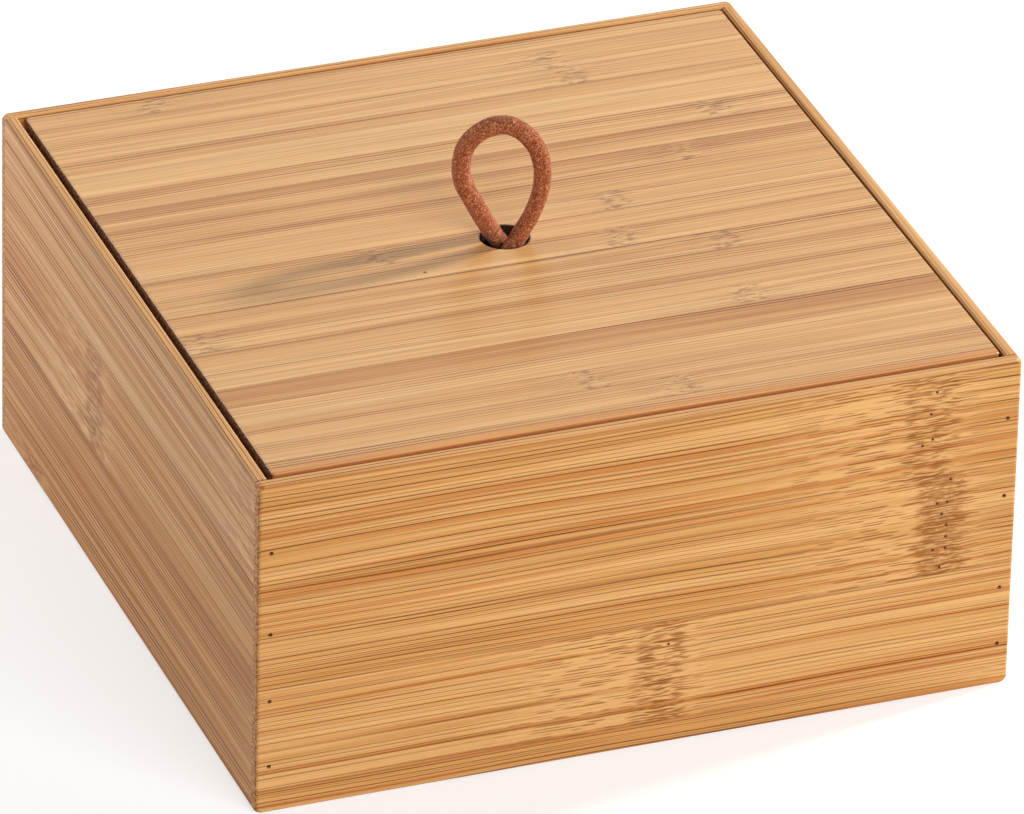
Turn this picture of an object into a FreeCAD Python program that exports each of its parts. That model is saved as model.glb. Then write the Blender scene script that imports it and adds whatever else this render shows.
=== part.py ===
import FreeCAD, Part
import math
import os

import Sketcher

# A square bamboo box. Four rebated boards are lapped and pinned at the corners, a floor board
# sits in their grooves, and a lid board lies on a ledge inside the rim. A leather cord through
# a hole in the lid stands up as a pull loop and is knotted below.
# Millimetres. The origin is the middle of the base, +Z is up and the front faces -Y.

os.makedirs("parts", exist_ok=True)
doc = FreeCAD.newDocument("OrganizerBox")
sheet = doc.addObject("Spreadsheet::Sheet", "Sizes")

SIZES = (
    ("box_width", 150.0, "outside, left to right"),
    ("box_depth", 150.0, "outside, front to back"),
    ("box_height", 70.0, "base to rim"),
    ("wall", 5.0, "thickness of the four upright boards"),
    ("corner_lip", 2.5, "what the front and back boards keep in front of a side board's end"),
    ("rim_lip", 2.5, "what the upright boards keep beside the lid"),
    ("edge_radius", 0.8, "sanded outer edges"),
    ("corner_radius", 2.2, "ball to which the eight outer corners are sanded"),
    ("corner_margin", 0.05, "keeps that ball clear of the sanded edges"),
    ("rim_edge_radius", 0.6, "eased inner edge of the rim"),
    ("lid_thickness", 5.0, "lid board"),
    ("lid_recess", 0.2, "rim above the lid's top"),
    ("lid_near_gap", 0.4, "lid to rim at the right and at the back"),
    ("lid_far_gap", 1.4, "lid to rim at the left and at the front"),
    ("lid_corner_radius", 0.8, "lid's corners seen from above"),
    ("lid_top_radius", 0.4, "lid's top edges"),
    ("lid_under_radius", 0.4, "lid's lower edges"),
    ("floor_thickness", 3.0, "floor board"),
    ("floor_height", 4.0, "base to the floor board's underside"),
    ("groove_depth", 2.5, "groove for the floor board"),
    ("floor_gap", 0.25, "floor board's edge to the bottom of its groove"),
    ("floor_play", 0.1, "groove's height beyond the floor board"),
    ("pin_diameter", 0.8, "headless pin"),
    ("pin_length", 14.0, "headless pin"),
    ("pin_sink", 0.5, "pin's end below the board's face"),
    ("pin_fit", 0.02, "pin to its hole"),
    ("pin_tip_gap", 0.1, "pin's tip to the bottom of its hole"),
    ("lowest_pin", 9.5, "base to the lowest pin"),
    ("highest_pin", 13.5, "rim to the highest pin"),
    ("cord_diameter", 3.6, "leather cord"),
    ("cord_hole", 9.4, "hole in the lid for both legs of the cord"),
    ("hole_left", 0.5, "lid's middle to that hole's middle, to the left"),
    ("hole_forward", 1.3, "lid's middle to that hole's middle, to the front"),
    ("hole_edge_radius", 0.3, "eased edges of that hole"),
    ("loop_turn", -21.0, "degrees that the loop is turned from the front"),
    ("fold_height", 1.5, "lid's top to the line on which the loop folds over"),
    ("knot_drop", 0.15, "lid's underside to where the knot begins"),
    ("wrap_clearance", 0.5, "one end of the cord to the other that it is wound round"),
    ("wrap_pitch", 4.2, "one turn of the knot to the next"),
)
PINS_PER_CORNER = 4
# How far each pin was driven from its even place, from the lowest up.
LEFT_PIN_SHIFTS = (0.5, -1.2, -2.6, -1.0)
RIGHT_PIN_SHIFTS = (-0.5, -3.9, 0.3, 1.3)

for row, (alias, number, note) in enumerate(SIZES, start=1):
    sheet.set(f"A{row}", alias)
    sheet.set(f"B{row}", str(number))
    sheet.setAlias(f"B{row}", alias)
    sheet.set(f"C{row}", note)
doc.recompute()

# Places that several boards share, as expressions of the sheet.
LEDGE = "(Sizes.box_height - Sizes.lid_recess - Sizes.lid_thickness)"
LID_TOP = "(Sizes.box_height - Sizes.lid_recess)"
LID_SHIFT = "(Sizes.lid_far_gap - Sizes.lid_near_gap) / 2"
HOLE_X = f"({LID_SHIFT} - Sizes.hole_left)"
HOLE_Y = f"({LID_SHIFT} - Sizes.hole_forward)"
LID_PLAY = "(2 * Sizes.rim_lip + Sizes.lid_near_gap + Sizes.lid_far_gap)"
SIDE_LENGTH = "(Sizes.box_depth - 2 * Sizes.corner_lip)"
GROOVE_TOP = "(Sizes.floor_height + Sizes.floor_thickness + Sizes.floor_play)"
FLOOR_INSET = "(2 * (Sizes.wall - Sizes.groove_depth + Sizes.floor_gap))"
PIN_HOLE = "(Sizes.pin_diameter + 2 * Sizes.pin_fit)"
PIN_REACH = "(Sizes.pin_sink + Sizes.pin_length + Sizes.pin_tip_gap - Sizes.corner_lip)"
BALL_OUTSET = "((1 - 1 / sqrt(2)) * (Sizes.corner_radius - Sizes.edge_radius) + Sizes.corner_margin)"


def value(expression):
    """Number that an expression of the sheet gives now."""
    return float(sheet.evalExpression(expression))


def bind(obj, **expressions):
    """Tie properties to the sheet, with __ for the dots in a property's path."""
    for path, expression in expressions.items():
        obj.setExpression(path.replace("__", "."), expression)


def pin_height(index, shifts):
    even_step = "(Sizes.box_height - Sizes.lowest_pin - Sizes.highest_pin)"
    return f"Sizes.lowest_pin + {index} * {even_step} / {PINS_PER_CORNER - 1} + ({shifts[index]})"


# Sketches


def new_body(name):
    return doc.addObject("PartDesign::Body", name)


def new_sketch(body, plane, name):
    sketch = body.newObject("Sketcher::SketchObject", name)
    support = next(f for f in body.Origin.OriginFeatures if f.Role == plane)
    sketch.AttachmentSupport = [(support, "")]
    sketch.MapMode = "FlatFace"
    return sketch


def drive(sketch, constraint, expression):
    """Add a dimension to the sketch and tie it to the sheet."""
    index = sketch.addConstraint(constraint)
    sketch.setExpression(f"Constraints[{index}]", expression)


def add_stepped_outline(sketch, corners):
    """Closed outline of level and upright lines through corners given as pairs of expressions."""
    points = [FreeCAD.Vector(value(x), value(y), 0) for x, y in corners]
    first = sketch.GeometryCount
    count = len(points)
    for index in range(count):
        sketch.addGeometry(Part.LineSegment(points[index], points[(index + 1) % count]))
    for index in range(count):
        line = first + index
        following = first + (index + 1) % count
        sketch.addConstraint(Sketcher.Constraint("Coincident", line, 2, following, 1))
        start, end = points[index], points[(index + 1) % count]
        level = abs(end.y - start.y) < abs(end.x - start.x)
        sketch.addConstraint(Sketcher.Constraint("Horizontal" if level else "Vertical", line))
        across, up = corners[index]
        expression = up if level else across
        axis = -1 if level else -2
        kind = "DistanceY" if level else "DistanceX"
        offset = start.y if level else start.x
        if expression == "0":
            sketch.addConstraint(Sketcher.Constraint("PointOnObject", line, 1, axis))
        else:
            drive(sketch, Sketcher.Constraint(kind, -1, 1, line, 1, offset), expression)


def add_centred_rectangle(sketch, width, depth):
    half_width, half_depth = value(width) / 2, value(depth) / 2
    signs = ((-1, -1), (1, -1), (1, 1), (-1, 1))
    points = [FreeCAD.Vector(sx * half_width, sy * half_depth, 0) for sx, sy in signs]
    for index in range(4):
        sketch.addGeometry(Part.LineSegment(points[index], points[(index + 1) % 4]))
    for index in range(4):
        sketch.addConstraint(Sketcher.Constraint("Coincident", index, 2, (index + 1) % 4, 1))
        sketch.addConstraint(Sketcher.Constraint("Vertical" if index % 2 else "Horizontal", index))
    sketch.addConstraint(Sketcher.Constraint("Symmetric", 0, 1, 2, 1, -1, 1))
    drive(sketch, Sketcher.Constraint("DistanceX", 0, 1, 0, 2, 2 * half_width), width)
    drive(sketch, Sketcher.Constraint("DistanceY", 1, 1, 1, 2, 2 * half_depth), depth)


def add_circle(sketch, across, up, diameter):
    centre = FreeCAD.Vector(value(across), value(up), 0)
    circle = sketch.addGeometry(Part.Circle(centre, FreeCAD.Vector(0, 0, 1), value(diameter) / 2))
    for kind, place, expression in (("DistanceX", centre.x, across), ("DistanceY", centre.y, up)):
        if expression != "0":
            drive(sketch, Sketcher.Constraint(kind, -1, 1, circle, 3, place), expression)
    if across == "0" and up == "0":
        sketch.addConstraint(Sketcher.Constraint("Coincident", circle, 3, -1, 1))
    drive(sketch, Sketcher.Constraint("Diameter", circle, value(diameter)), diameter)


# Features


def pad(body, sketch, name, length):
    feature = body.newObject("PartDesign::Pad", name)
    feature.Profile = sketch
    bind(feature, Length=length)
    doc.recompute()
    return feature


def pocket(body, sketch, name, depth=None, forward=False, both_ways=False):
    """Cut the sketch out, through all or to a depth, and check that it took something away."""
    before = body.Shape.Volume
    feature = body.newObject("PartDesign::Pocket", name)
    feature.Profile = sketch
    feature.Reversed = forward
    if both_ways:
        feature.SideType = "Symmetric"
    if depth is None:
        feature.Type = "ThroughAll"
    else:
        bind(feature, Length=depth)
    doc.recompute()
    if body.Shape.Volume >= before:
        raise RuntimeError(f"{body.Label}: {name} cuts nothing")
    return feature


def fillet(body, name, radius, wanted):
    """Round the edges for which wanted(start, end) holds. A whole circle gives its centre twice."""
    base = body.Tip
    names = []
    for index, edge in enumerate(base.Shape.Edges, start=1):
        ends = [vertex.Point for vertex in edge.Vertexes]
        if len(ends) == 1:
            ends = 2 * [edge.BoundBox.Center]
        if wanted(*ends):
            names.append(f"Edge{index}")
    if not names:
        raise RuntimeError(f"{body.Label}: {name} finds no edge")
    feature = body.newObject("PartDesign::Fillet", name)
    feature.Base = (base, names)
    bind(feature, Radius=radius)
    doc.recompute()
    return feature


def near(one, other):
    return abs(one - other) < 1e-4


# The upright boards. Each lies along its own X, its outer face at Y = 0 and its foot at Z = 0.


def board_blank(name, length):
    """Board with the lid's rebate above and the floor's groove below, milled along its length."""
    body = new_body(name)
    profile = new_sketch(body, "YZ_Plane", f"{name}_profile")
    groove_bottom = "Sizes.wall - Sizes.groove_depth"
    add_stepped_outline(profile, (
        ("0", "0"),
        ("Sizes.wall", "0"),
        ("Sizes.wall", "Sizes.floor_height"),
        (groove_bottom, "Sizes.floor_height"),
        (groove_bottom, GROOVE_TOP),
        ("Sizes.wall", GROOVE_TOP),
        ("Sizes.wall", LEDGE),
        ("Sizes.rim_lip", LEDGE),
        ("Sizes.rim_lip", "Sizes.box_height"),
        ("0", "Sizes.box_height"),
    ))
    pad(body, profile, f"{name}_length", length)
    lip, rim = value("Sizes.rim_lip"), value("Sizes.box_height")
    fillet(body, f"{name}_rim_edge", "Sizes.rim_edge_radius",
           lambda a, b: all(near(point.y, lip) and near(point.z, rim) for point in (a, b)))
    return body


def lapped_board(name, first_shifts, last_shifts):
    """Front or back: its ends are cut back to a lip that covers the side boards' ends."""
    body = board_blank(name, "Sizes.box_width")
    laps = new_sketch(body, "XY_Plane", f"{name}_laps")
    far_end = "Sizes.box_width"
    for low, high in (("0", "Sizes.wall"), (f"{far_end} - Sizes.wall", far_end)):
        add_stepped_outline(laps, (
            (low, "Sizes.corner_lip"),
            (high, "Sizes.corner_lip"),
            (high, "Sizes.wall"),
            (low, "Sizes.wall"),
        ))
    pocket(body, laps, f"{name}_lap_cut", both_ways=True)
    holes = new_sketch(body, "XZ_Plane", f"{name}_pin_places")
    for across, shifts in (("Sizes.wall / 2", first_shifts),
                           ("Sizes.box_width - Sizes.wall / 2", last_shifts)):
        for index in range(PINS_PER_CORNER):
            add_circle(holes, across, pin_height(index, shifts), PIN_HOLE)
    pocket(body, holes, f"{name}_pin_holes", depth="Sizes.wall")
    return body


def side_board(name, first_shifts, last_shifts):
    """Left or right: its square ends stand in the laps and take the pins."""
    body = board_blank(name, SIDE_LENGTH)
    for end, shifts in (("first", first_shifts), ("last", last_shifts)):
        holes = new_sketch(body, "YZ_Plane", f"{name}_{end}_pin_places")
        for index in range(PINS_PER_CORNER):
            add_circle(holes, "Sizes.wall / 2", pin_height(index, shifts), PIN_HOLE)
        if end == "last":
            bind(holes, AttachmentOffset__Base__z=SIDE_LENGTH)
        pocket(body, holes, f"{name}_{end}_pin_holes", depth=PIN_REACH, forward=end == "first")
    return body


def sanded_outline():
    """Block with the glued box's outside: eased edges, and corners rounded further by a ball."""
    blocks = []
    for name, radius, outset in (("edge_block", "Sizes.edge_radius", "0"),
                                 ("corner_block", "Sizes.corner_radius", BALL_OUTSET)):
        body = new_body(name)
        base = new_sketch(body, "XY_Plane", f"{name}_base")
        add_centred_rectangle(base, f"Sizes.box_width + 2 * {outset}", f"Sizes.box_depth + 2 * {outset}")
        pad(body, base, f"{name}_height", f"Sizes.box_height + 2 * {outset}")
        fillet(body, f"{name}_edges", radius, lambda a, b: True)
        bind(body, Placement__Base__z=f"-1 * {outset}")
        blocks.append(body)
    outline = doc.addObject("Part::Common", "sanded_outline")
    outline.Base, outline.Tool = blocks
    doc.recompute()
    return outline


def stand_board(body, label, quarter_turns, across, along, outline):
    """Turn a board to its side of the box, stand it there and sand it to the box's outline."""
    body.Label = f"{label}_milled"
    body.Placement = FreeCAD.Placement(FreeCAD.Vector(), FreeCAD.Rotation(90 * quarter_turns, 0, 0))
    bind(body, Placement__Base__x=across, Placement__Base__y=along)
    board = doc.addObject("Part::Common", label)
    board.Base = body
    board.Tool = outline
    board.Label = label
    doc.recompute()
    return board


def upright_boards():
    outline = sanded_outline()
    half_width, half_depth = "Sizes.box_width / 2", "Sizes.box_depth / 2"
    inner_depth = "(Sizes.box_depth / 2 - Sizes.corner_lip)"
    left, right = LEFT_PIN_SHIFTS, RIGHT_PIN_SHIFTS
    return [
        stand_board(lapped_board("front_milled", left, right), "front_panel",
                    0, f"-{half_width}", f"-{half_depth}", outline),
        stand_board(side_board("right_milled", right, right), "right_panel",
                    1, half_width, f"-{inner_depth}", outline),
        stand_board(lapped_board("back_milled", right, left), "back_panel",
                    2, half_width, half_depth, outline),
        stand_board(side_board("left_milled", left, left), "left_panel",
                    3, f"-{half_width}", inner_depth, outline),
    ]


# The pins


def corner_pins(label, side, end, shifts):
    """Pins of one corner. side is -1 at the left, end is -1 at the front."""
    pins = []
    for index in range(PINS_PER_CORNER):
        pin = doc.addObject("Part::Cylinder", f"{label}_{index + 1}")
        turn = FreeCAD.Rotation(FreeCAD.Vector(1, 0, 0), 90 * end)
        pin.Placement = FreeCAD.Placement(FreeCAD.Vector(), turn)
        bind(pin, Radius="Sizes.pin_diameter / 2", Height="Sizes.pin_length",
             Placement__Base__x=f"{side} * (Sizes.box_width - Sizes.wall) / 2",
             Placement__Base__y=f"{end} * (Sizes.box_depth / 2 - Sizes.pin_sink)",
             Placement__Base__z=pin_height(index, shifts))
        pins.append(pin)
    group = doc.addObject("Part::Compound", label)
    group.Links = pins
    group.Label = label
    return group


def all_pins():
    return [
        corner_pins("front_left_pins", -1, -1, LEFT_PIN_SHIFTS),
        corner_pins("front_right_pins", 1, -1, RIGHT_PIN_SHIFTS),
        corner_pins("back_left_pins", -1, 1, LEFT_PIN_SHIFTS),
        corner_pins("back_right_pins", 1, 1, RIGHT_PIN_SHIFTS),
    ]


# The floor and the lid


def floor_panel():
    body = new_body("floor_panel")
    outline = new_sketch(body, "XY_Plane", "floor_outline")
    add_centred_rectangle(outline, f"Sizes.box_width - {FLOOR_INSET}", f"Sizes.box_depth - {FLOOR_INSET}")
    pad(body, outline, "floor_board", "Sizes.floor_thickness")
    bind(body, Placement__Base__z="Sizes.floor_height")
    return body


def lid_panel():
    body = new_body("lid_panel")
    outline = new_sketch(body, "XY_Plane", "lid_outline")
    add_centred_rectangle(outline, f"Sizes.box_width - {LID_PLAY}", f"Sizes.box_depth - {LID_PLAY}")
    pad(body, outline, "lid_board", "Sizes.lid_thickness")
    top = value("Sizes.lid_thickness")
    fillet(body, "lid_corners", "Sizes.lid_corner_radius",
           lambda a, b: near(a.x, b.x) and near(a.y, b.y))
    fillet(body, "lid_top_edge", "Sizes.lid_top_radius",
           lambda a, b: near(a.z, top) and near(b.z, top))
    fillet(body, "lid_under_edge", "Sizes.lid_under_radius",
           lambda a, b: near(a.z, 0) and near(b.z, 0))
    hole = new_sketch(body, "XY_Plane", "cord_hole_place")
    add_circle(hole, "-1 * Sizes.hole_left", "-1 * Sizes.hole_forward", "Sizes.cord_hole")
    pocket(body, hole, "cord_hole_cut", both_ways=True)
    reach = value("Sizes.cord_hole")
    fillet(body, "cord_hole_edges", "Sizes.hole_edge_radius",
           lambda a, b: a.Length < reach and near(a.z, b.z))
    bind(body, Placement__Base__x=LID_SHIFT, Placement__Base__y=LID_SHIFT, Placement__Base__z=LEDGE)
    return body


# The leather cord. Its route is written in the loop's own frame: across the loop, out of its
# plane towards the back, and up. The loop's heights count from the lid's top, and those of the
# knot and of the cut ends from the lid's underside.

LEFT_END = ((0, 2.2, -17.5), (0, 2.2, -1.2))
LOOP = ((-0.4, 2.5, -3.2), (-2.3, 0.5, 0.4), (-6.0, 0, 7.2), (-9.0, 0, 13.2), (-7.7, 0, 20.8),
        (-0.8, 0, 25.1), (5.5, 0, 20.9), (7.3, 0, 13.2), (5.5, 0, 5.8), (2.5, -0.5, 0.4),
        (0.4, -2.5, -3.2))
RIGHT_BEND = ((-0.5, -2.3, -1.2),)
RIGHT_END = ((0.4, -2.3, -13.6), (0, -2.2, -17.2))
WRAP_POINTS_PER_TURN = 8
WRAP_POINTS = 15
WRAP_START = -140.0
WRAP_FIRST_HEIGHT = -3.0
WRAP_LEAD = 1.3


def under_lid(points):
    return tuple((x, y, z - value("Sizes.lid_thickness")) for x, y, z in points)


def wrap_points():
    """Right end of the cord wound down round the left one, which stays straight."""
    step = 360.0 / WRAP_POINTS_PER_TURN
    core_x, core_y, _ = LEFT_END[0]
    middle = value("Sizes.cord_diameter + Sizes.wrap_clearance")
    radius = middle / math.cos(math.radians(step / 2))
    drop = value("Sizes.wrap_pitch") / WRAP_POINTS_PER_TURN
    points = []
    for index in range(WRAP_POINTS):
        angle = math.radians(WRAP_START - index * step)
        fall = 0 if index == 0 else WRAP_LEAD + (index - 1) * drop
        points.append((core_x + radius * math.cos(angle), core_y + radius * math.sin(angle),
                       WRAP_FIRST_HEIGHT - fall))
    return tuple(points)


def rounded_route(points):
    """Straight runs joined by tangent arcs as large as the runs allow, and the arcs' radii."""
    run_share = 0.45
    points = [FreeCAD.Vector(*point) for point in points]
    edges, radii = [], []
    start = points[0]
    for before, corner, after in zip(points, points[1:], points[2:]):
        back, ahead = before - corner, after - corner
        reach = run_share * min(back.Length, ahead.Length)
        back.normalize()
        ahead.normalize()
        turn = math.pi - back.getAngle(ahead)
        radius = reach / math.tan(turn / 2)
        inward = back + ahead
        inward.normalize()
        nearest = corner + inward * (radius / math.cos(turn / 2) - radius)
        arc_start, arc_end = corner + back * reach, corner + ahead * reach
        edges.append(Part.LineSegment(start, arc_start).toShape())
        edges.append(Part.Arc(arc_start, nearest, arc_end).toShape())
        radii.append(radius)
        start = arc_end
    edges.append(Part.LineSegment(start, points[-1]).toShape())
    return Part.Wire(edges), radii


def least_gap_to_itself(route, diameter):
    """Least gap between stretches of the cord that lie over three diameters apart along it."""
    spacing = diameter / 6
    points = route.discretize(Distance=spacing)
    apart = math.ceil(3 * diameter / spacing)
    pairs = ((one, other) for i, one in enumerate(points) for other in points[i + apart:])
    return min((one - other).Length for one, other in pairs) - diameter


def leather_cord():
    """The whole cord as one tube, cut level into its loop, the legs in the hole and the knot."""
    diameter = value("Sizes.cord_diameter")
    right_end = RIGHT_BEND + wrap_points() + RIGHT_END
    points = under_lid(LEFT_END) + LOOP + under_lid(right_end)
    route, radii = rounded_route(points)
    start, ahead = points[0], FreeCAD.Vector(*points[1]) - FreeCAD.Vector(*points[0])
    section = Part.Wire(Part.Circle(FreeCAD.Vector(*start), ahead, diameter / 2).toShape())
    tube = doc.addObject("Part::Feature", "cord_tube")
    tube.Shape = route.makePipeShell([section], True, False)
    share = tube.Shape.Volume / (math.pi * diameter ** 2 / 4 * route.Length)
    print("cord radii:", " ".join(f"{radius:.1f}" for radius in radii))
    print(f"cord length {route.Length:.1f}, volume over section times length {share:.4f},",
          f"least gap to itself {least_gap_to_itself(route, diameter):.2f}")

    fold = "Sizes.fold_height"
    knot = "(-1 * Sizes.lid_thickness - Sizes.knot_drop)"
    reach = "Sizes.box_height"
    stretches = []
    for label, low, high in (("cord_loop", fold, reach), ("cord_legs", knot, fold),
                             ("cord_knot", f"-1 * {reach}", knot)):
        slab = doc.addObject("Part::Box", f"{label}_slab")
        bind(slab, Length=f"2 * {reach}", Width=f"2 * {reach}", Height=f"{high} - ({low})",
             Placement__Base__x=f"-1 * {reach}", Placement__Base__y=f"-1 * {reach}",
             Placement__Base__z=low)
        stretch = doc.addObject("Part::Common", label)
        stretch.Base = tube
        stretch.Tool = slab
        stretch.Label = label
        upright_axis, any_turn = FreeCAD.Vector(0, 0, 1), 1
        stretch.Placement.Rotation = FreeCAD.Rotation(upright_axis, any_turn)
        bind(stretch, Placement__Base__x=HOLE_X, Placement__Base__y=HOLE_Y,
             Placement__Base__z=LID_TOP, Placement__Rotation__Angle="Sizes.loop_turn")
        stretches.append(stretch)
    return stretches


def write_parts(parts):
    doc.recompute()
    failed = [obj.Name for obj in doc.Objects if {"Invalid", "Error"} & set(obj.State)]
    if failed:
        raise RuntimeError(f"failed: {failed}")
    for part in parts:
        if part.Shape.isNull() or not part.Shape.isValid():
            raise RuntimeError(f"{part.Label} has no valid shape")
    for part in parts:
        part.Shape.exportStep(f"parts/{part.Label}.step")
        box = part.Shape.optimalBoundingBox()
        print(f"{part.Label}: {len(part.Shape.Solids)} solids, {part.Shape.Volume:.1f} mm3,",
              f"z {box.ZMin:.2f} to {box.ZMax:.2f}")


write_parts(upright_boards() + all_pins() + [floor_panel(), lid_panel()] + leather_cord())
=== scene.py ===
import math

import bpy
from mathutils import Matrix, Vector, noise


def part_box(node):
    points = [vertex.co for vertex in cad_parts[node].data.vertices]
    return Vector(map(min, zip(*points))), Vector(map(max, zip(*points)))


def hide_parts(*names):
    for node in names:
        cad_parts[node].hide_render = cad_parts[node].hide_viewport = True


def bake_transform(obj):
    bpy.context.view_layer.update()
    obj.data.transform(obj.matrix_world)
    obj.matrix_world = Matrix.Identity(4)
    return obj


# A bamboo box with an inset lid and a leather pull loop, dressed around its solids.
# Metres, +Z up, the front faces -Y. Sizes in millimetres are multiplied by MM, and the object's
# colours are written as on a screen, from 0 to 255.

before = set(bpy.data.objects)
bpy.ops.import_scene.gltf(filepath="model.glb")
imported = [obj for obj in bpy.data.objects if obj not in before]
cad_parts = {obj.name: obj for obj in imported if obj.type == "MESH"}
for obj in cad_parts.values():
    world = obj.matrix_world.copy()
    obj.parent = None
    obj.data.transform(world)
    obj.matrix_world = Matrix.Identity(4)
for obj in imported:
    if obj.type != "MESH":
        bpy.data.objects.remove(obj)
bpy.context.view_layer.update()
MM = 0.001
WHITE = (1, 1, 1, 1)


# Camera: a long lens from the front left, with the photograph's slight roll.

CAMERA_PLACE = (-0.68459, -1.78281, 1.12923)
CAMERA_RIGHT = (0.93720436, -0.34812738, 0.02133785)
CAMERA_UP = (0.15611417, 0.47341451, 0.86689507)
SENSOR_WIDTH = 36.0
LENS = 407.0
CLIP_END = 100.0


def add_camera():
    data = bpy.data.cameras.new("camera")
    data.sensor_width = SENSOR_WIDTH
    data.lens = LENS
    data.clip_end = CLIP_END
    camera = bpy.data.objects.new("camera", data)
    right, up = Vector(CAMERA_RIGHT), Vector(CAMERA_UP)
    turn = Matrix((right, up, right.cross(up))).transposed()
    camera.matrix_world = Matrix.Translation(CAMERA_PLACE) @ turn.to_4x4()
    bpy.context.scene.collection.objects.link(camera)
    bpy.context.scene.camera = camera


# The leather cord. Its route is written in the loop's own frame, in millimetres: across the
# loop, out of its plane towards the back, and up. The loop's heights count from the lid's top,
# and those of the knot and of the cut ends from the lid's underside.

LEFT_END = ((0, 2.2, -17.5), (0, 2.2, -1.2))
LOOP = ((-0.4, 2.5, -3.2), (-2.3, 0.5, 0.4), (-6.0, 0, 7.2), (-9.0, 0, 13.2), (-7.7, 0, 20.8),
        (-0.8, 0, 25.1), (5.5, 0, 20.9), (7.3, 0, 13.2), (5.5, 0, 5.8), (2.5, -0.5, 0.4),
        (0.4, -2.5, -3.2))
RIGHT_BEND = ((-0.5, -2.3, -1.2),)
RIGHT_END = ((0.4, -2.3, -13.6), (0, -2.2, -17.2))
ROUTE_ORDER = 3
ROUTE_RESOLUTION = 14
WRAP_POINTS_PER_TURN = 8
WRAP_POINTS = 15
WRAP_START = -140.0
WRAP_FIRST_HEIGHT = -3.0
WRAP_LEAD = 1.3
WRAP_PITCH = 4.2
WRAP_CLEARANCE = 0.5
CORD_DIAMETER = 3.6
CORD_SIDES = 40
LOOP_TURN = -21.0
# The loop's right leg is worn thinner near the hole: by which share, how far to the right of
# the hole's middle that begins and is full, and the heights at which it begins and fades.
WORN_SHARE = 0.11
WORN_ACROSS = (0.0, 4.0)
WORN_BEGINS = (-4.0, 0.0)
WORN_FADES = (22.0, 8.0)
# Waves of the leather's surface: their size, and their height as a share of the cord's radius.
BROAD_WAVE = (2.6, 0.03)
FINE_WAVE = (0.55, 0.025)
FINE_WAVE_SHIFT = Vector((7, 3, 1))

HOLE_FROM_LID_MIDDLE = Vector((-0.5, -1.3, 0)) * MM
lid_low, lid_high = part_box("lid_panel")
HOLE = (lid_low + lid_high) / 2 + HOLE_FROM_LID_MIDDLE
LID_THICKNESS = (lid_high.z - lid_low.z) / MM


def wrap_points():
    """Right end of the cord wound down round the left one, which stays straight."""
    step = 360.0 / WRAP_POINTS_PER_TURN
    core_x, core_y, _ = LEFT_END[0]
    radius = (CORD_DIAMETER + WRAP_CLEARANCE) / math.cos(math.radians(step / 2))
    points = []
    for index in range(WRAP_POINTS):
        angle = math.radians(WRAP_START - index * step)
        fall = 0 if index == 0 else WRAP_LEAD + (index - 1) * WRAP_PITCH / WRAP_POINTS_PER_TURN
        points.append((core_x + radius * math.cos(angle), core_y + radius * math.sin(angle),
                       WRAP_FIRST_HEIGHT - fall))
    return tuple(points)


def under_lid(points):
    return tuple((x, y, z - LID_THICKNESS) for x, y, z in points)


def on_hole(height):
    """Point above the middle of the lid's hole, at a height from the lid's top."""
    return Vector((HOLE.x, HOLE.y, lid_high.z + height * MM))


def cord_line():
    """Points along the cord, read from the spline that its route controls."""
    route = under_lid(LEFT_END) + LOOP + under_lid(RIGHT_BEND + wrap_points() + RIGHT_END)
    curve = bpy.data.curves.new("cord_route", "CURVE")
    curve.dimensions = "3D"
    spline = curve.splines.new("NURBS")
    spline.points.add(len(route) - 1)
    turn = Matrix.Rotation(math.radians(LOOP_TURN), 3, "Z")
    for point, place in zip(spline.points, route):
        point.co = (*(on_hole(0) + turn @ (Vector(place) * MM)), 1)
    spline.order_u = ROUTE_ORDER
    spline.use_endpoint_u = True
    spline.resolution_u = ROUTE_RESOLUTION
    carrier = bpy.data.objects.new("cord_route", curve)
    line = bpy.data.meshes.new_from_object(carrier)
    points = [vertex.co.copy() for vertex in line.vertices]
    bpy.data.objects.remove(carrier)
    bpy.data.meshes.remove(line)
    return points


def tube_rings(points, radius, sides):
    """Rings round a line of points, without twist, roughened as cut leather is."""
    rings = []
    ahead = (points[1] - points[0]).normalized()
    side = ahead.orthogonal().normalized()
    for index, point in enumerate(points):
        before, after = points[max(index - 1, 0)], points[min(index + 1, len(points) - 1)]
        ahead = (after - before).normalized()
        side = (side - ahead * side.dot(ahead)).normalized()
        other = ahead.cross(side)
        ring = []
        for corner in range(sides):
            angle = 2 * math.pi * corner / sides
            out = side * math.cos(angle) + other * math.sin(angle)
            place = point + out * radius
            ring.append(point + out * radius * (worn_thickness(point) + leather_swell(place)))
        rings.append(ring)
    return rings


def share_of_way(value, start, end):
    """How far a value is from start to end, from 0 to 1."""
    return min(max((value - start) / (end - start), 0), 1)


def worn_thickness(place):
    """Thickness of the cord at a place on its line, as a share."""
    right = share_of_way((place.x - HOLE.x) / MM, *WORN_ACROSS)
    up = (place.z - lid_high.z) / MM
    near = share_of_way(up, *WORN_BEGINS) * share_of_way(up, *WORN_FADES)
    return 1 - WORN_SHARE * right * near


def leather_swell(place):
    """Share by which the cord's surface stands out or in at a place."""
    (broad_size, broad_height), (fine_size, fine_height) = BROAD_WAVE, FINE_WAVE
    broad = noise.noise(place / (broad_size * MM))
    fine = noise.noise(place / (fine_size * MM) + FINE_WAVE_SHIFT)
    return broad_height * broad + fine_height * fine


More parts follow.
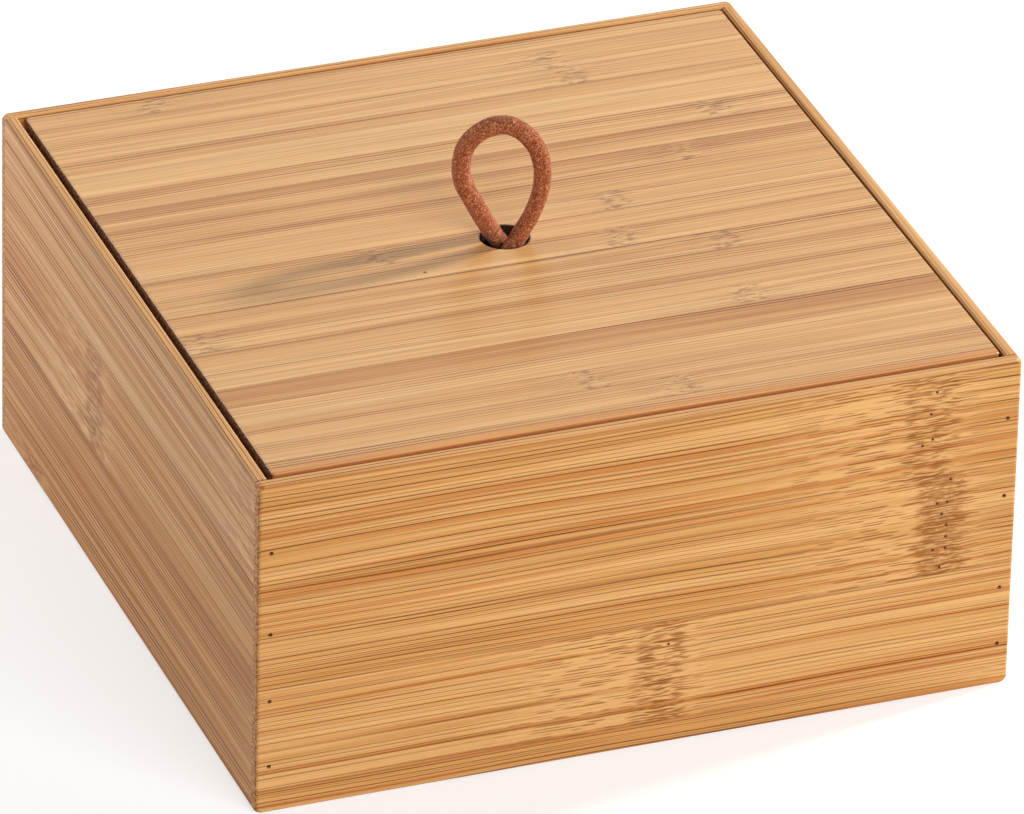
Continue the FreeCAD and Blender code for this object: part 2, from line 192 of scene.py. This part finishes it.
def add_cord():
    sides = CORD_SIDES
    points = cord_line()
    rings = tube_rings(points, CORD_DIAMETER / 2 * MM, sides)
    vertices = [place for ring in rings for place in ring]
    faces = []
    for first in range(0, len(vertices) - sides, sides):
        for corner in range(sides):
            following = (corner + 1) % sides
            faces.append((first + corner, first + following,
                          first + sides + following, first + sides + corner))
    walls = len(faces)
    faces.append(tuple(reversed(range(sides))))
    faces.append(tuple(range(len(vertices) - sides, len(vertices))))
    mesh = bpy.data.meshes.new("leather_cord")
    mesh.from_pydata(vertices, [], faces)
    mesh.polygons.foreach_set("use_smooth", [True] * walls + [False] * 2)
    mesh.update()
    rest = mesh.attributes.new("rest_place", "FLOAT_VECTOR", "POINT")
    for item, place in zip(rest.data, vertices):
        item.vector = place
    mesh.materials.append(leather("suede_leather"))
    cord = bpy.data.objects.new("leather_cord", mesh)
    bpy.context.scene.collection.objects.link(cord)
    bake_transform(cord)
    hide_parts("cord_loop", "cord_legs", "cord_knot")


# Materials


class Shader:
    """A new material, with a short method for each kind of node that it needs."""

    def __init__(self, name):
        self.material = bpy.data.materials.new(name)
        self.material.use_nodes = True
        self.tree = self.material.node_tree
        self.surface = self.tree.nodes["Principled BSDF"]

    def put(self, socket, value):
        if isinstance(value, bpy.types.NodeSocket):
            self.tree.links.new(value, socket)
        else:
            socket.default_value = value

    def put_on_surface(self, values):
        for name, value in values.items():
            self.put(self.surface.inputs[name], value)

    def node(self, kind, inputs, **settings):
        node = self.tree.nodes.new("ShaderNode" + kind)
        for name, value in settings.items():
            setattr(node, name, value)
        for socket, value in inputs.items():
            self.put(node.inputs[socket], value)
        return node

    def math(self, operation, *values):
        return self.node("Math", dict(enumerate(values)), operation=operation).outputs[0]

    def add(self, one, other):
        return self.math("ADD", one, other)

    def times(self, one, other):
        return self.math("MULTIPLY", one, other)

    def least(self, one, other):
        return self.math("MINIMUM", one, other)

    def most(self, one, other):
        return self.math("MAXIMUM", one, other)

    def away(self, one, other):
        return self.math("ABSOLUTE", self.math("SUBTRACT", one, other))

    def step(self, value, low, high, start=0.0, end=1.0):
        """Smooth step from start at low to end at high."""
        inputs = {0: value, 1: low, 2: high, 3: start, 4: end}
        return self.node("MapRange", inputs, interpolation_type="SMOOTHSTEP").outputs[0]

    def scaled(self, vector, factor):
        inputs = {0: vector, "Scale": factor}
        return self.node("VectorMath", inputs, operation="SCALE").outputs[0]

    def vector(self, x, y, z):
        return self.node("CombineXYZ", {0: x, 1: y, 2: z}).outputs[0]

    def parts(self, vector):
        return self.node("SeparateXYZ", {0: vector}).outputs

    def noise(self, place, scale=1.0, detail=2.0, rough=0.5, twist=0.0):
        inputs = {"Vector": place, "Scale": scale, "Detail": detail, "Roughness": rough,
                  "Distortion": twist}
        return self.node("TexNoise", inputs).outputs[0]

    def sway(self, place, detail=0.0):
        """Noise to either side of 0, by a half at most."""
        return self.add(self.noise(place, detail=detail), -0.5)

    def chance(self, number):
        """An even chance that stays the same for a number."""
        node = self.node("TexWhiteNoise", {"W": number}, noise_dimensions="1D")
        return node.outputs["Value"]

    def lookup(self, number, rows):
        """Values of the row that a whole number counts from 0, each from 0 to 1."""
        share = self.math("DIVIDE", self.add(number, 0.5), len(rows))
        node = self.node("ValToRGB", {0: share})
        ramp = node.color_ramp
        ramp.interpolation = "CONSTANT"
        ramp.elements.remove(ramp.elements[1])
        for index, row in enumerate(rows):
            element = ramp.elements.new(index / len(rows)) if index else ramp.elements[0]
            element.color = (*row, 1)
        return self.node("SeparateColor", {0: node.outputs[0]}).outputs

    def blend(self, share, one, other):
        return self.node("Mix", {0: share, 6: one, 7: other}, data_type="RGBA").outputs[2]

    def coats(self, colour, *rows):
        """Colour under coats, each given by where it lies, its strength and its own colour."""
        for where, strength, coat in rows:
            colour = self.blend(self.times(where, strength), colour, coat)
        return colour

    def finish(self, colour, roughness, height, depth):
        """Wire up the surface. Height is from 0 to 1 and stands for a depth in metres."""
        bump = self.node("Bump", {"Strength": 1.0, "Distance": depth, "Height": height})
        self.put_on_surface({"Base Color": colour, "Roughness": roughness,
                             "Normal": bump.outputs[0]})
        return self.material


def from_screen(red, green, blue):
    """Colour as written on a screen, in the shader's linear light."""
    parts = [part / 255 for part in (red, green, blue)]
    return (*[p / 12.92 if p <= 0.04045 else ((p + 0.055) / 1.055) ** 2.4 for p in parts], 1)


def colours(*rows):
    return [from_screen(*row) for row in rows]


# Each board's ground from pale to brown, then the walls' ruddy streaks, and its dark fibres last.
WALL_COLOURS = colours((247, 189, 121), (232, 169, 100), (209, 139, 68), (207, 125, 56),
                       (96, 34, 0))
SIDE_COLOURS = colours((236, 184, 130), (222, 162, 102), (196, 125, 60), (194, 122, 64),
                       (66, 22, 0))
LID_COLOURS = colours((239, 189, 127), (225, 170, 107), (200, 139, 79), (102, 42, 5))
# The first is a painted sheen on the rim tops; the joint and knot colours are the wood's own.
RIM_TOP_SHEEN, WALL_JOINT, WALL_KNOT = colours((228, 177, 122), (150, 84, 34), (88, 52, 24))
# Partly painted light on the lid's front strip, and painted shade of the gap on the lid's sides.
LIT_LID_FRONT_STRIP, LID_SIDE_GAP_SHADE = colours((222, 150, 80), (186, 116, 58))
# The spot colour is the wood's own; the bore colour is painted shade in the lid's hole.
LID_SPOT, LID_BORE_SHADE = colours((96, 66, 40), (62, 34, 16))
WALL_END_GRAIN = colours((218, 156, 100), (128, 80, 42))
LID_END_GRAIN = colours((150, 100, 54), (52, 27, 10))
LEATHER_GROUND = colours((142, 69, 36), (182, 103, 61))
LEATHER_PATCH, PALE_FIBRE, DARK_FIBRE = colours((156, 80, 43), (232, 164, 118), (92, 34, 14))
PIN_COLOURS = colours((58, 38, 24), (104, 78, 56))


def leather(name):
    """Raw leather: curled pale and dark fibres on a brown ground."""
    s = Shader(name)
    place = s.node("Attribute", {}, attribute_name="rest_place").outputs["Vector"]
    place = s.scaled(place, 1 / MM)
    flecks = s.noise(place, scale=1.2, detail=2.0, rough=0.6, twist=1.5)
    fibres = s.noise(place, scale=1.15, detail=1.0, rough=0.5, twist=3.2)
    patches = s.noise(place, scale=0.4, detail=1.0)
    colour = s.coats(
        s.blend(s.step(flecks, 0.36, 0.62), *LEATHER_GROUND),
        (s.step(patches, 0.4, 0.65), 1.0, LEATHER_PATCH),
        (s.step(fibres, 0.54, 0.64), 0.6, PALE_FIBRE),
        (s.step(fibres, 0.46, 0.36), 0.6, DARK_FIBRE))
    s.put_on_surface({"Specular IOR Level": 0.2, "Sheen Weight": 0.08, "Sheen Roughness": 0.6})
    return s.finish(colour, roughness=0.85, height=s.add(flecks, fibres), depth=0.16 * MM)


def grain_place(s, along, across, deep):
    """Place in a board, in millimetres: along its grain, across its strips, into its face."""
    place = s.node("TexCoord", {}).outputs["Object"]
    axes = dict(zip("XYZ", s.parts(s.scaled(place, 1 / MM))))
    return [s.times(axes[axis[-1]], -1.0 if axis[0] == "-" else 1.0)
            for axis in (along, across, deep)]


def facing(s, axis):
    """How far a face looks along an axis."""
    parts = dict(zip("XYZ", s.parts(s.node("TexCoord", {}).outputs["Normal"])))
    return s.step(s.math("ABSOLUTE", parts[axis[-1]]), 0.6, 0.9)


class Grain:
    """Strips of one board and the place in them, bent a little as the fibres run."""

    # Millimetres: the farthest joint from a board's middle, the farthest that two strips' noise
    # lies apart, how ragged a joint is, how near to it fibres swirl, how far
    # they bend and swirl, and a distance beyond every spot.
    reach = 100.0
    strips_apart = 900.0
    ragged_by = 7.0
    swirl_from_joint = (16.0, 2.0)
    bend_by = 1.4
    swirl_by = 0.6
    far = 1000.0

    def __init__(self, s, axes, first, width, rows, seed):
        self.s = s
        self.end = facing(s, axes[0])
        self.side = facing(s, axes[1])
        self.along, self.across, self.deep = grain_place(s, *axes)
        count = s.math("DIVIDE", s.add(self.across, -first), width)
        self.index = s.math("FLOOR", count)
        self.share = s.math("FRACT", count)
        joint, self.tone, self.edge = list(s.lookup(self.index, rows))[:3]
        joint = s.add(s.times(joint, 2 * self.reach), -self.reach)
        self.shift = s.times(s.chance(s.add(self.index, seed)), self.strips_apart)
        ragged = s.sway(s.vector(self.shift, s.times(self.across, 0.8), s.times(self.deep, 0.8)),
                        detail=1.0)
        self.from_joint = s.add(s.add(self.along, s.times(joint, -1.0)),
                                s.times(ragged, self.ragged_by))
        self.off_joint = s.math("ABSOLUTE", self.from_joint)
        self.near = s.step(self.off_joint, *self.swirl_from_joint)
        bend = s.sway(self.at(length=60.0, width=14.0, across=self.across))
        swirl = s.times(s.sway(self.at(length=3.6, width=1.8, across=self.across)),
                        s.add(0.04, self.near))
        self.bent = s.add(self.across, s.add(s.times(bend, self.bend_by),
                                             s.times(swirl, self.swirl_by)))

    def at(self, length, width, across=None):
        """Place counted in marks of a length along the grain and a width across it."""
        s = self.s
        across = self.bent if across is None else across
        return s.vector(s.times(s.add(self.along, self.shift), 1 / length),
                        s.times(across, 1 / width), s.times(self.deep, 1 / width))

    def bands(self, length, width, rough, tone):
        """Bands of lighter and darker ground, which a strip's tone shifts; on the front and left
        boards these tones also carry painted light.
        """
        s = self.s
        return s.add(s.noise(self.at(length, width), detail=3.0, rough=rough),
                     s.times(s.add(self.tone, -0.5), tone))

    def marks(self, length, width, shown, detail=0.0):
        """Marks of about that length and width, shown as the noise rises between two levels."""
        return self.s.step(self.s.noise(self.at(length, width), detail=detail), *shown)

    def fibres(self, spacing, thick, length, shown):
        """Fibres about a spacing apart and as thick as a share of it. Along a length they come
        and go, as the noise rises and falls between two levels."""
        s = self.s
        count = s.add(s.times(s.add(self.bent, self.deep), 1 / spacing), self.shift)
        index = s.math("FLOOR", count)
        own = s.chance(index)
        off = s.away(s.math("FRACT", count), s.add(0.3, s.times(own, 0.4)))
        half = s.times(thick, s.add(0.5, own))
        place = s.vector(s.times(self.along, 1 / length), s.times(index, 1.7), 0.0)
        present = s.step(s.noise(place, detail=1.0), *shown)
        return s.times(s.step(off, half, s.times(half, 0.25)), present)

    def glue(self, start):
        """Lines of glue between strips, from a share of a strip off its middle."""
        return self.s.step(self.s.away(self.share, 0.5), start, 0.5)

    def end_grain(self, ground, pore):
        """Colour of the end grain, with its round pores."""
        s = self.s
        pores = s.noise(s.vector(0.0, self.across, self.deep), scale=1.5, detail=1.0)
        return s.blend(s.step(pores, 0.42, 0.6), ground, pore)

    def relief(self):
        """Fine ridges of the fibres."""
        s = self.s
        return s.noise(s.vector(s.times(self.along, 0.07), s.times(self.across, 4.0),
                                s.times(self.deep, 4.0)), detail=1.0)

    def distance(self, along, across):
        here = self.s.vector(self.along, self.across, 0.0)
        gap = self.s.node("VectorMath", {0: here, 1: (along, across, 0)}, operation="DISTANCE")
        return gap.outputs["Value"]

    def spots(self, places, radius):
        """Where a place lies near one of the spots, given along and across."""
        nearest = self.far
        for along, across in places:
            nearest = self.s.least(nearest, self.distance(along, across))
        return self.s.step(nearest, radius, 0.35 * radius)


def strip_row(joint=None, tone=0.5, edge=0.5):
    """One strip of a board: its joint's place along the grain, its darkness and its edge's."""
    place = 1.0 if joint is None else (joint + Grain.reach) / (2 * Grain.reach)
    return (place, tone, edge)


# Width of the strips, and where the first one starts across the board.
WALL_STRIP, WALL_FIRST_STRIP = 21.5, -16.5
LID_STRIP, LID_FIRST_STRIP = 7.0, -74.0
# A narrow strip along the lid's front edge, up to here across the board; its orange is partly
# painted light.
LID_FRONT_STRIP_EDGE = -68.7
# Distance from the hole's middle at which the painted shade of its bore begins and is full.
BORE_SHADE_EDGE = (5.1, 4.7)
WALL_KNOT_RADIUS = 0.42
LID_SPOT_RADIUS = 0.5


def wall_bamboo(name, axes, joints, seed, shades, knots=()):
    """Bamboo pressed flat: wide strips with long dark fibres that break up at each joint."""
    s = Shader(name)
    pale, middle, brown, ruddy, line = shades
    rows = [strip_row(*joint) for joint in joints]
    g = Grain(s, axes, WALL_FIRST_STRIP, WALL_STRIP, rows, seed)
    bands = g.bands(length=190.0, width=2.6, rough=0.6, tone=0.4)
    broken = s.least(s.step(g.from_joint, -44.0, -10.0), s.step(g.from_joint, 14.0, 3.0))
    whole = s.times(s.add(1.0, s.times(broken, -0.75)), s.step(bands, 0.3, 0.6, start=0.55))
    lines = s.times(g.fibres(spacing=0.92, thick=0.18, length=120.0, shown=(0.30, 0.58)), whole)
    fine = s.times(g.fibres(spacing=0.46, thick=0.30, length=50.0, shown=(0.34, 0.62)), whole)
    dashes = s.times(g.fibres(spacing=0.58, thick=0.30, length=7.0, shown=(0.43, 0.56)), broken)
    streaks = g.marks(length=130.0, width=1.3, shown=(0.54, 0.74))
    joint = s.step(g.off_joint, 6.0, 3.5)
    smears = s.times(g.marks(length=3.6, width=0.5, shown=(0.45, 0.60), detail=1.0), joint)
    fuzz = s.times(g.marks(length=0.9, width=0.4, shown=(0.2, 0.7), detail=1.0),
                   s.times(joint, g.edge))
    ground = s.add(bands, s.times(broken, -0.12))
    colour = s.coats(
        s.blend(s.step(ground, 0.28, 0.52), pale, middle),
        (s.step(ground, 0.48, 0.82), 1.0, brown),
        (streaks, 0.6, ruddy),
        # Painted sheen: faces looking across the strips, the rim tops among them, are paled.
        (g.side, 0.65, RIM_TOP_SHEEN),
        (fine, 0.36, line),
        (lines, 0.9, line),
        (dashes, 0.85, WALL_JOINT),
        (smears, 0.62, WALL_JOINT),
        (fuzz, 0.45, WALL_JOINT),
        (g.glue(0.487), 0.35, line))
    if knots:
        colour = s.blend(g.spots(knots, WALL_KNOT_RADIUS), colour, WALL_KNOT)
    colour = s.coats(colour, (g.end, 0.75, g.end_grain(*WALL_END_GRAIN)))
    s.put_on_surface({"Specular IOR Level": 0.12})
    rough = s.step(lines, 0.0, 1.0, start=0.44, end=0.54)
    return s.finish(colour, rough, g.relief(), depth=0.03 * MM)


def lid_bamboo(name, axes, strips, seed, shades, dark_spots):
    """Bamboo pressed on edge: narrow strips, each dense with fibres at its back edge."""
    s = Shader(name)
    pale, middle, brown, line = shades
    rows = [strip_row(*strip) for strip in strips]
    g = Grain(s, axes, LID_FIRST_STRIP, LID_STRIP, rows, seed)
    dense = s.times(s.step(g.share, 0.15, 1.0), g.edge)
    bands = g.bands(length=160.0, width=1.7, rough=0.65, tone=0.6)
    lines = s.times(g.fibres(spacing=0.85, thick=0.17, length=90.0, shown=(0.36, 0.60)),
                    s.add(0.4, dense))
    fine = g.fibres(spacing=0.42, thick=0.30, length=40.0, shown=(0.40, 0.62))
    dashes = s.times(g.fibres(spacing=0.6, thick=0.3, length=6.0, shown=(0.42, 0.64)), g.near)
    joint = s.step(g.off_joint, 4.0, 1.5)
    hooks = s.times(g.marks(length=2.2, width=0.5, shown=(0.5, 0.62), detail=1.0), joint)
    lit_front_strip = s.step(g.across, LID_FRONT_STRIP_EDGE + 0.1, LID_FRONT_STRIP_EDGE - 0.2)
    front_glue = s.step(s.away(g.across, LID_FRONT_STRIP_EDGE), 0.25, 0.1)
    bore_shade = s.step(g.distance(HOLE.x / MM, HOLE.y / MM), *BORE_SHADE_EDGE)
    ground = s.add(bands, s.times(dense, 0.25))
    colour = s.coats(
        s.blend(s.step(ground, 0.34, 0.58), pale, middle),
        (s.step(ground, 0.54, 0.86), 1.0, brown),
        # The front strip is a strip of its own, coloured partly as painted light of its lit front
        # edge.
        (lit_front_strip, 0.8, LIT_LID_FRONT_STRIP),
        (fine, 0.28, line),
        (lines, 0.95, line),
        (dashes, 0.4, line),
        (joint, 0.15, pale),
        (hooks, 0.5, line),
        (s.most(g.glue(0.475), front_glue), 0.35, line),
        (g.spots(dark_spots, LID_SPOT_RADIUS), 1.0, LID_SPOT),
        (g.end, 1.0, g.end_grain(*LID_END_GRAIN)),
        # Painted shade: the lid's front and back faces, down in the gap by the rim, are darkened.
        (g.side, 0.6, LID_SIDE_GAP_SHADE),
        # Painted shade: darkened in the hole and round its rim.
        (bore_shade, 1.0, LID_BORE_SHADE))
    rough = s.most(s.step(lines, 0.0, 0.8, start=0.3, end=0.42),
                   s.times(s.most(g.end, g.side), 0.8))
    return s.finish(colour, rough, g.relief(), depth=0.02 * MM)


def steel(name):
    s = Shader(name)
    place = s.scaled(s.node("TexCoord", {}).outputs["Object"], 1 / MM)
    stain = s.noise(place, scale=3.0, detail=3.0, rough=0.6)
    colour = s.blend(s.step(stain, 0.35, 0.65), *PIN_COLOURS)
    s.put_on_surface({"Metallic": 0.6})
    rough = s.step(stain, 0.3, 0.7, start=0.45, end=0.65)
    return s.finish(colour, rough, height=stain, depth=0.02 * MM)


# Strips of the boards from the lowest or the front one on: the joint's place along the grain,
# then the strip's darkness and its edge's where they aren't even.
NO_JOINT = (None,)
# The front's two lowest strips have lighter tones as painted light, over the strips' own tones.
FRONT_STRIPS = ((None, 0.4), (4.5, 0.25, 0.1), (60, 0.4, 1.0), (57, 0.45, 0.2), NO_JOINT)
BACK_STRIPS = (NO_JOINT, (-38,), (26,), (-12,), NO_JOINT)
# The left board's tones run from dark at the bottom to pale at the top: painted shade and painted
# sheen, over the strips' own tones.
LEFT_STRIPS = ((-55, 0.8), (None, 0.75), (-18, 0.55, 0.6), (82, 0.3), NO_JOINT)
RIGHT_STRIPS = (NO_JOINT, (31,), (-44,), (12,), NO_JOINT)
FLOOR_STRIPS = ((20,), (-31,), (44,), (-8,), (-60,), (33,), NO_JOINT)
LID_STRIPS = (
    (None, 0.4, 0.5), (12, 0.55, 0.5), (-4, 0.5, 0.5), (None, 0.45, 0.4), (None, 0.85, 1.0),
    (36, 0.4, 0.4), (None, 0.55, 0.6), (-68, 0.5, 0.9), (39, 0.5, 0.8), (21, 0.5, 0.5),
    (-25, 0.5, 0.5), (25, 0.4, 0.4), (None, 0.6, 0.5), (44, 0.6, 0.8), (None, 0.6, 1.0),
    (56, 0.45, 0.8), (None, 0.35, 0.3), (None, 0.45, 0.9), (35, 0.45, 0.4), (32, 0.5, 0.4),
    (-46, 0.55, 0.5), NO_JOINT)
# Small dark spots, along and across the board.
FRONT_KNOTS = ((58, 66), (57, 61.5), (57.5, 56), (55.5, 55), (61.5, 46.8), (59, 42), (61, 42),
               (60, 39.5), (61, 37), (61, 34.5), (58.5, 32), (61, 32), (60, 28), (6, 21.5))
LID_SPOTS = ((-19, -9),)
# Each wall's node and material, its axes along, across and into the grain, its strips, seed,
# colours and knots.
WALLS = (
    ("front_panel", "front_bamboo", ("X", "Z", "Y"), FRONT_STRIPS, 3, WALL_COLOURS, FRONT_KNOTS),
    ("back_panel", "back_bamboo", ("-X", "Z", "Y"), BACK_STRIPS, 29, WALL_COLOURS),
    ("left_panel", "left_bamboo", ("-Y", "Z", "X"), LEFT_STRIPS, 47, SIDE_COLOURS),
    ("right_panel", "right_bamboo", ("Y", "Z", "X"), RIGHT_STRIPS, 61, WALL_COLOURS),
    ("floor_panel", "floor_bamboo", ("X", "Y", "Z"), FLOOR_STRIPS, 83, WALL_COLOURS))
LID_SEED = 7


def dress(node, material):
    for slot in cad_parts[node].material_slots:
        slot.material = material


def dress_all():
    for node, *look in WALLS:
        dress(node, wall_bamboo(*look))
    dress("lid_panel", lid_bamboo("lid_bamboo", ("X", "Y", "Z"), LID_STRIPS, LID_SEED,
                                  LID_COLOURS, LID_SPOTS))
    pins = steel("pin_steel")
    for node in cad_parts:
        if node.endswith("_pins"):
            dress(node, pins)


# Floor and light

FLOOR_HALF = 4.0
FLOOR_GREY = (0.55, 0.55, 0.55, 1)
FLOOR_GLOW = 0.6
WORLD_LIGHT = 0.12
# Soft boxes: the direction from the lid, the distance and the side in metres, and watts.
LAMPS = (
    ("key", (52.6, 6.9, 25.6), 1.3, 0.11, 16.5),
    ("front", (0.25, -1.0, 0.5), 1.6, 1.2, 19.5),
    ("left", (-1.0, 0.9, 0.35), 0.6, 0.4, 2.1))


def seen_rays(tree):
    """1 for the rays that show the background: to the camera, in gloss and through glass."""
    path = tree.nodes.new("ShaderNodeLightPath")
    seen = path.outputs["Is Camera Ray"]
    for name in ("Is Glossy Ray", "Is Transmission Ray"):
        most = tree.nodes.new("ShaderNodeMath")
        most.operation = "MAXIMUM"
        tree.links.new(seen, most.inputs[0])
        tree.links.new(path.outputs[name], most.inputs[1])
        seen = most.outputs[0]
    return seen


def add_floor():
    half = FLOOR_HALF
    mesh = bpy.data.meshes.new("floor")
    mesh.from_pydata([(-half, -half, 0), (half, -half, 0), (half, half, 0), (-half, half, 0)], [],
                     [(0, 1, 2, 3)])
    s = Shader("floor_white")
    s.put_on_surface({"Base Color": FLOOR_GREY, "Roughness": 0.9, "Specular IOR Level": 0.1,
                      "Emission Color": WHITE,
                      "Emission Strength": s.times(seen_rays(s.tree), FLOOR_GLOW)})
    mesh.materials.append(s.material)
    floor = bpy.data.objects.new("floor", mesh)
    bpy.context.scene.collection.objects.link(floor)


def add_world(strength):
    """White where it is seen, and a weaker light on the object."""
    world = bpy.data.worlds.new("studio")
    world.use_nodes = True
    tree = world.node_tree
    background = tree.nodes["Background"]
    background.inputs["Color"].default_value = WHITE
    level = tree.nodes.new("ShaderNodeMix")
    level.inputs[2].default_value = strength
    level.inputs[3].default_value = 1.0
    tree.links.new(seen_rays(tree), level.inputs[0])
    tree.links.new(level.outputs[0], background.inputs["Strength"])
    bpy.context.scene.world = world


def add_lamp(name, direction, distance, size, watts):
    """Square soft box that shines at the lid's hole from a direction."""
    data = bpy.data.lights.new(name, "AREA")
    data.shape = "SQUARE"
    data.size = size
    data.energy = watts
    lamp = bpy.data.objects.new(name, data)
    towards = Vector(direction).normalized()
    lamp.location = HOLE + towards * distance
    lamp.rotation_euler = towards.to_track_quat("Z", "Y").to_euler()
    bpy.context.scene.collection.objects.link(lamp)


def add_lights():
    add_world(WORLD_LIGHT)
    for lamp in LAMPS:
        add_lamp(*lamp)


add_camera()
add_cord()
dress_all()
add_floor()
add_lights()
bpy.context.scene.view_settings.view_transform = "Standard"
